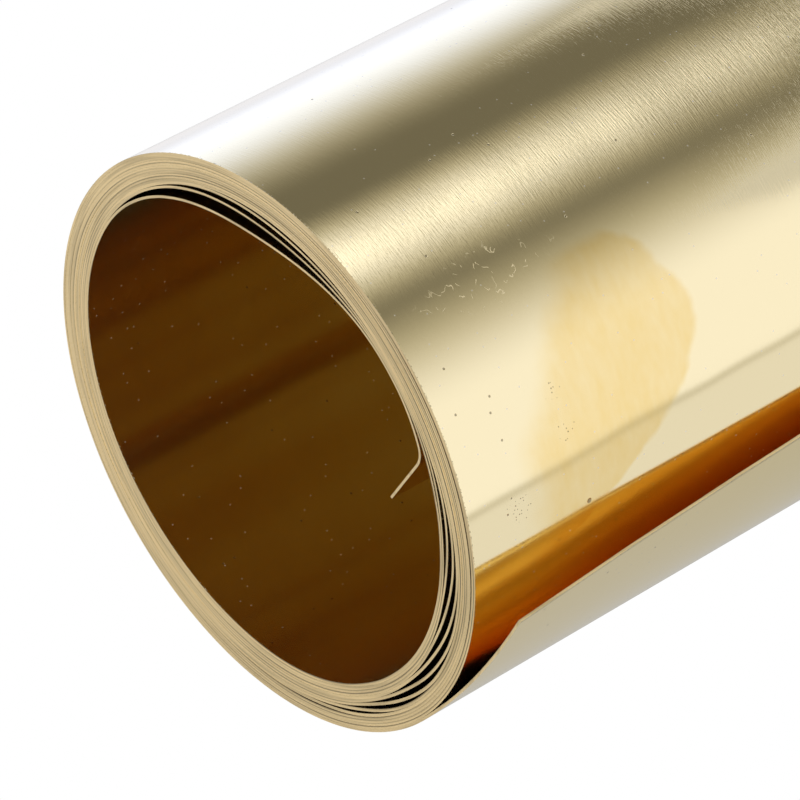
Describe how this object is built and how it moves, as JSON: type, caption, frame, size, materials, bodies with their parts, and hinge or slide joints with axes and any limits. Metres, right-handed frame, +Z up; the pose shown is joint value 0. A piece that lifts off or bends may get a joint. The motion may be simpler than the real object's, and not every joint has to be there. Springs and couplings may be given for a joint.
{
  "type": "shim stock roll",
  "caption": "Loosely wound roll of thin brass shim sheet, standing on one end, with an open bore, a bent lip at its inner end and a sprung tail at its outer end.",
  "frame": {"origin": "centre of the bottom of the roll's box, on the floor that it stands on", "axes": "+Z up along the roll's axis, towards the end that the picture shows; +X to the right seen from above, towards the sprung tail; +Y across"},
  "size_m": [0.0658, 0.0608, 0.15],
  "materials": {
    "brass": "satin"
  },
  "bodies": {
    "root": {"shim_roll": "brass"}
  },
  "joints": []
}
